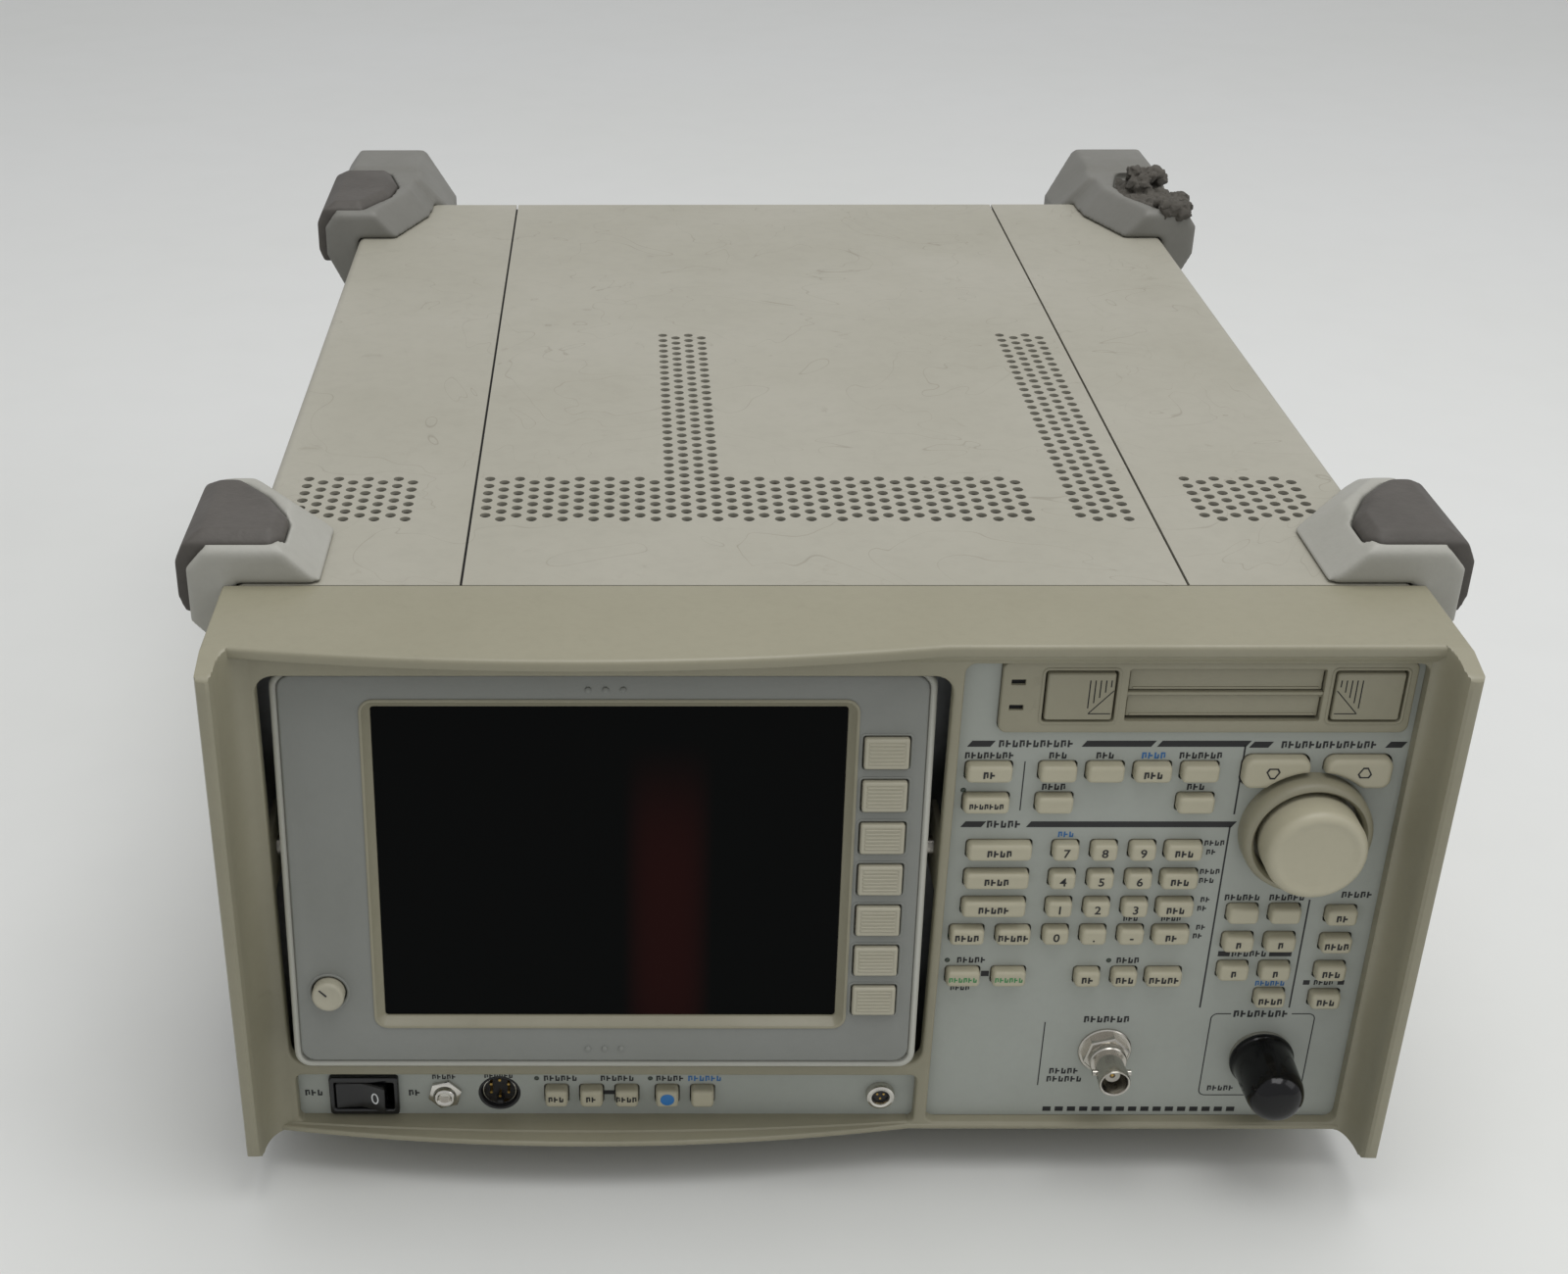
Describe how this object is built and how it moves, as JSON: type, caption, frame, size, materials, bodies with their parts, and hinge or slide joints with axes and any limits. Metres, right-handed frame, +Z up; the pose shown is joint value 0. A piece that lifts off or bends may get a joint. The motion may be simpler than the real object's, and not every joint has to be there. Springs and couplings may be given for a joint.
{
  "type": "spectrum analyzer",
  "caption": "Bench spectrum analyser with a tilting flat display, key panel, tuning knob, capped RF input, memory card drive, vented covers and rubber-padded corner guards.",
  "frame": {"origin": "below the middle of the instrument over everything, in the resting plane of the lower guard pads", "axes": "+X to the user's right, +Y from the front panel to the rear, +Z up"},
  "size_m": [0.382, 0.4982, 0.207],
  "materials": {
    "bezel_beige": "satin warm grey beige paint",
    "cover_beige": "fine textured light warm grey paint",
    "panel_grey": "satin mid grey paint with dark printed marks",
    "guard_grey": "moulded warm grey plastic",
    "pad_rubber": "dark brownish grey rubber, scuffed",
    "key_cream": "satin cream plastic",
    "sheet_steel": "zinc plated sheet steel",
    "nickel": "nickel plated",
    "board": "green epoxy circuit board",
    "black_plastic": "glossy black plastic",
    "dark_plastic": "matt black plastic",
    "screen": "dark glossy flat display"
  },
  "bodies": {
    "instrument": {"front_bezel": "bezel_beige", "control_panel": "panel_grey", "utility_panel": "panel_grey", "chassis": "sheet_steel", "top_cover": "cover_beige", "left_cover": "cover_beige", "right_cover": "cover_beige", "bottom_cover": "cover_beige", "rear_panel": "cover_beige", "front_guards": "guard_grey", "rear_guards": "guard_grey", "guard_pads": "pad_rubber", "display_pivots": "nickel", "knob_ring": "bezel_beige", "rotary_encoder": "nickel", "power_switch_body": "black_plastic", "cal_out_connector": "nickel", "input_connector": "nickel", "phone_jack": "nickel", "keyboard_socket": "dark_plastic", "probe_power_socket": "nickel", "card_bezel": "bezel_beige", "card_drive": "sheet_steel", "key_board": "board", "main_board": "board", "power_supply": "sheet_steel", "rf_module": "sheet_steel", "cooling_fan": "dark_plastic", "mains_inlet": "dark_plastic", "rear_connectors": "nickel", "cover_screws": "nickel"},
    "display": {"display_housing": "bezel_beige", "display_face": "panel_grey", "lcd_panel": "screen"},
    "softkey_1": {"softkey_1": "key_cream"},
    "softkey_2": {"softkey_2": "key_cream"},
    "softkey_3": {"softkey_3": "key_cream"},
    "softkey_4": {"softkey_4": "key_cream"},
    "softkey_5": {"softkey_5": "key_cream"},
    "softkey_6": {"softkey_6": "key_cream"},
    "softkey_7": {"softkey_7": "key_cream"},
    "intensity_knob": {"intensity_knob": "key_cream"},
    "tuning_knob": {"tuning_knob": "key_cream"},
    "power_rocker": {"power_rocker": "black_plastic"},
    "input_cap": {"input_cap": "black_plastic"},
    "upper_card_door": {"upper_card_door": "bezel_beige"},
    "lower_card_door": {"lower_card_door": "bezel_beige"},
    "left_eject_button": {"left_eject_button": "bezel_beige"},
    "right_eject_button": {"right_eject_button": "bezel_beige"},
    "step_down_key": {"step_down_key": "key_cream"},
    "step_up_key": {"step_up_key": "key_cream"},
    "function_keys": {"function_keys": "key_cream"},
    "digit_keys": {"digit_keys": "key_cream"},
    "unit_keys": {"unit_keys": "key_cream"},
    "measurement_keys": {"measurement_keys": "key_cream"},
    "sweep_keys": {"sweep_keys": "key_cream"},
    "screen_keys": {"screen_keys": "key_cream"},
    "marker_keys": {"marker_keys": "key_cream"},
    "utility_keys": {"utility_keys": "key_cream"},
    "fan_rotor": {"fan_rotor": "dark_plastic"}
  },
  "joints": [
    {"name": "display_tilt", "type": "hinge", "parent": "instrument", "child": "display", "pos_m": [0, -0.2139, 0.116], "axis": [1, 0, 0], "range_deg": [-4, 6]},
    {"name": "softkey_1_press", "type": "slide", "parent": "display", "child": "softkey_1", "axis": [0, 0.9945, -0.1045], "range_m": [0, 0.0012]},
    {"name": "softkey_2_press", "type": "slide", "parent": "display", "child": "softkey_2", "axis": [0, 0.9945, -0.1045], "range_m": [0, 0.0012]},
    {"name": "softkey_3_press", "type": "slide", "parent": "display", "child": "softkey_3", "axis": [0, 0.9945, -0.1045], "range_m": [0, 0.0012]},
    {"name": "softkey_4_press", "type": "slide", "parent": "display", "child": "softkey_4", "axis": [0, 0.9945, -0.1045], "range_m": [0, 0.0012]},
    {"name": "softkey_5_press", "type": "slide", "parent": "display", "child": "softkey_5", "axis": [0, 0.9945, -0.1045], "range_m": [0, 0.0012]},
    {"name": "softkey_6_press", "type": "slide", "parent": "display", "child": "softkey_6", "axis": [0, 0.9945, -0.1045], "range_m": [0, 0.0012]},
    {"name": "softkey_7_press", "type": "slide", "parent": "display", "child": "softkey_7", "axis": [0, 0.9945, -0.1045], "range_m": [0, 0.0012]},
    {"name": "intensity_knob_turn", "type": "hinge", "parent": "display", "child": "intensity_knob", "pos_m": [-0.1477, -0.23559, 0.07705], "axis": [0, 0.9945, -0.1045], "range_deg": [-150, 150]},
    {"name": "tuning_knob_turn", "type": "hinge", "parent": "instrument", "child": "tuning_knob", "pos_m": [0.1413, -0.2319, 0.1286], "axis": [0, 1, 0], "continuous": true},
    {"name": "power_rocker_tilt", "type": "hinge", "parent": "instrument", "child": "power_rocker", "pos_m": [-0.141, -0.2199, 0.0287], "axis": [0, 0, 1], "range_deg": [0, 18]},
    {"name": "input_cap_pull", "type": "slide", "parent": "instrument", "child": "input_cap", "axis": [0, -1, 0], "range_m": [0, 0.03]},
    {"name": "upper_card_door_swing", "type": "hinge", "parent": "instrument", "child": "upper_card_door", "pos_m": [0.1117, -0.2239, 0.1816], "axis": [1, 0, 0], "range_deg": [0, 80]},
    {"name": "lower_card_door_swing", "type": "hinge", "parent": "instrument", "child": "lower_card_door", "pos_m": [0.1117, -0.2239, 0.1731], "axis": [1, 0, 0], "range_deg": [0, 80]},
    {"name": "left_eject_button_press", "type": "slide", "parent": "instrument", "child": "left_eject_button", "axis": [0, 1, 0], "range_m": [0, 0.004]},
    {"name": "right_eject_button_press", "type": "slide", "parent": "instrument", "child": "right_eject_button", "axis": [0, 1, 0], "range_m": [0, 0.004]},
    {"name": "step_down_key_press", "type": "slide", "parent": "instrument", "child": "step_down_key", "axis": [0, 1, 0], "range_m": [0, 0.0015]},
    {"name": "step_up_key_press", "type": "slide", "parent": "instrument", "child": "step_up_key", "axis": [0, 1, 0], "range_m": [0, 0.0015]},
    {"name": "function_keys_press", "type": "slide", "parent": "instrument", "child": "function_keys", "axis": [0, 1, 0], "range_m": [0, 0.0015]},
    {"name": "digit_keys_press", "type": "slide", "parent": "instrument", "child": "digit_keys", "axis": [0, 1, 0], "range_m": [0, 0.0015]},
    {"name": "unit_keys_press", "type": "slide", "parent": "instrument", "child": "unit_keys", "axis": [0, 1, 0], "range_m": [0, 0.0015]},
    {"name": "measurement_keys_press", "type": "slide", "parent": "instrument", "child": "measurement_keys", "axis": [0, 1, 0], "range_m": [0, 0.0015]},
    {"name": "sweep_keys_press", "type": "slide", "parent": "instrument", "child": "sweep_keys", "axis": [0, 1, 0], "range_m": [0, 0.0015]},
    {"name": "screen_keys_press", "type": "slide", "parent": "instrument", "child": "screen_keys", "axis": [0, 1, 0], "range_m": [0, 0.0015]},
    {"name": "marker_keys_press", "type": "slide", "parent": "instrument", "child": "marker_keys", "axis": [0, 1, 0], "range_m": [0, 0.0015]},
    {"name": "utility_keys_press", "type": "slide", "parent": "instrument", "child": "utility_keys", "axis": [0, 1, 0], "range_m": [0, 0.0015]},
    {"name": "fan_rotor_spin", "type": "hinge", "parent": "instrument", "child": "fan_rotor", "pos_m": [-0.095, 0.1831, 0.105], "axis": [0, 1, 0], "continuous": true}
  ]
}
